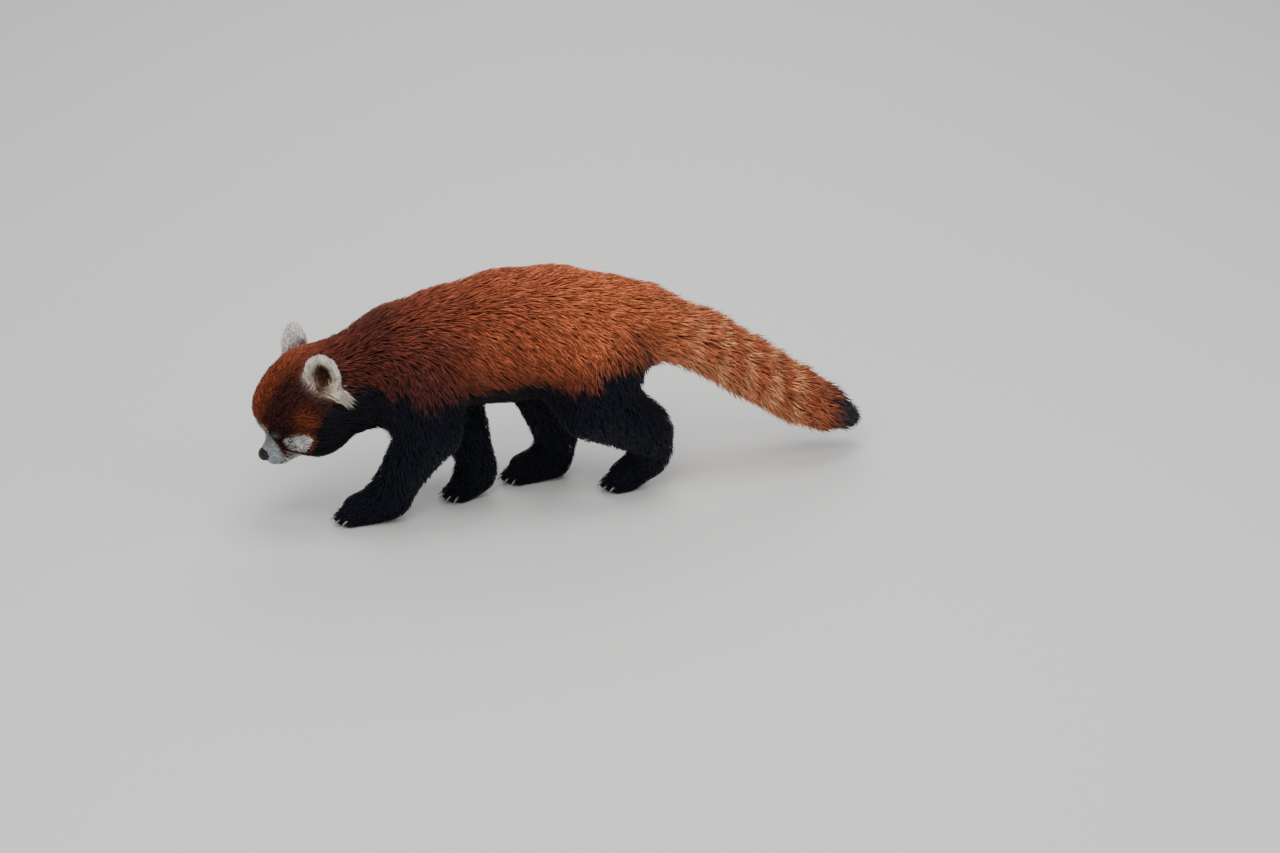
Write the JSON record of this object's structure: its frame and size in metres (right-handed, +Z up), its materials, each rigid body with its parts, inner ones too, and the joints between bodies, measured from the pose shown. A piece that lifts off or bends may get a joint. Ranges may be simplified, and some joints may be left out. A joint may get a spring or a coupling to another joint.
{
  "type": "red panda model",
  "caption": "Still, life-size red panda on all fours, walking with lowered head and its bushy ringed tail held out behind.",
  "frame": {"origin": "on the floor, under the middle of the bounding box", "axes": "+X towards the tail, -X towards the nose, -Y towards the animal's left side, +Z up"},
  "size_m": [0.7438, 0.1644, 0.2895],
  "materials": {
    "coat_red": "soft dense fur, rust red",
    "coat_black": "soft dense fur, black",
    "coat_white": "soft dense fur, cream white",
    "nose_leather": "moist, finely grained black skin",
    "eye": "wet gloss, very dark brown"
  },
  "bodies": {
    "root": {"head": "coat_red", "neck": "coat_red", "torso": "coat_red", "tail": "coat_red", "tail_tip": "coat_black", "foreleg_left": "coat_black", "foreleg_right": "coat_black", "hindleg_left": "coat_black", "hindleg_right": "coat_black", "forepaw_left": "coat_black", "forepaw_right": "coat_black", "hindpaw_left": "coat_black", "hindpaw_right": "coat_black", "ear_left": "coat_white", "ear_right": "coat_white", "nose": "nose_leather", "eye_left": "eye", "eye_right": "eye"}
  },
  "joints": []
}
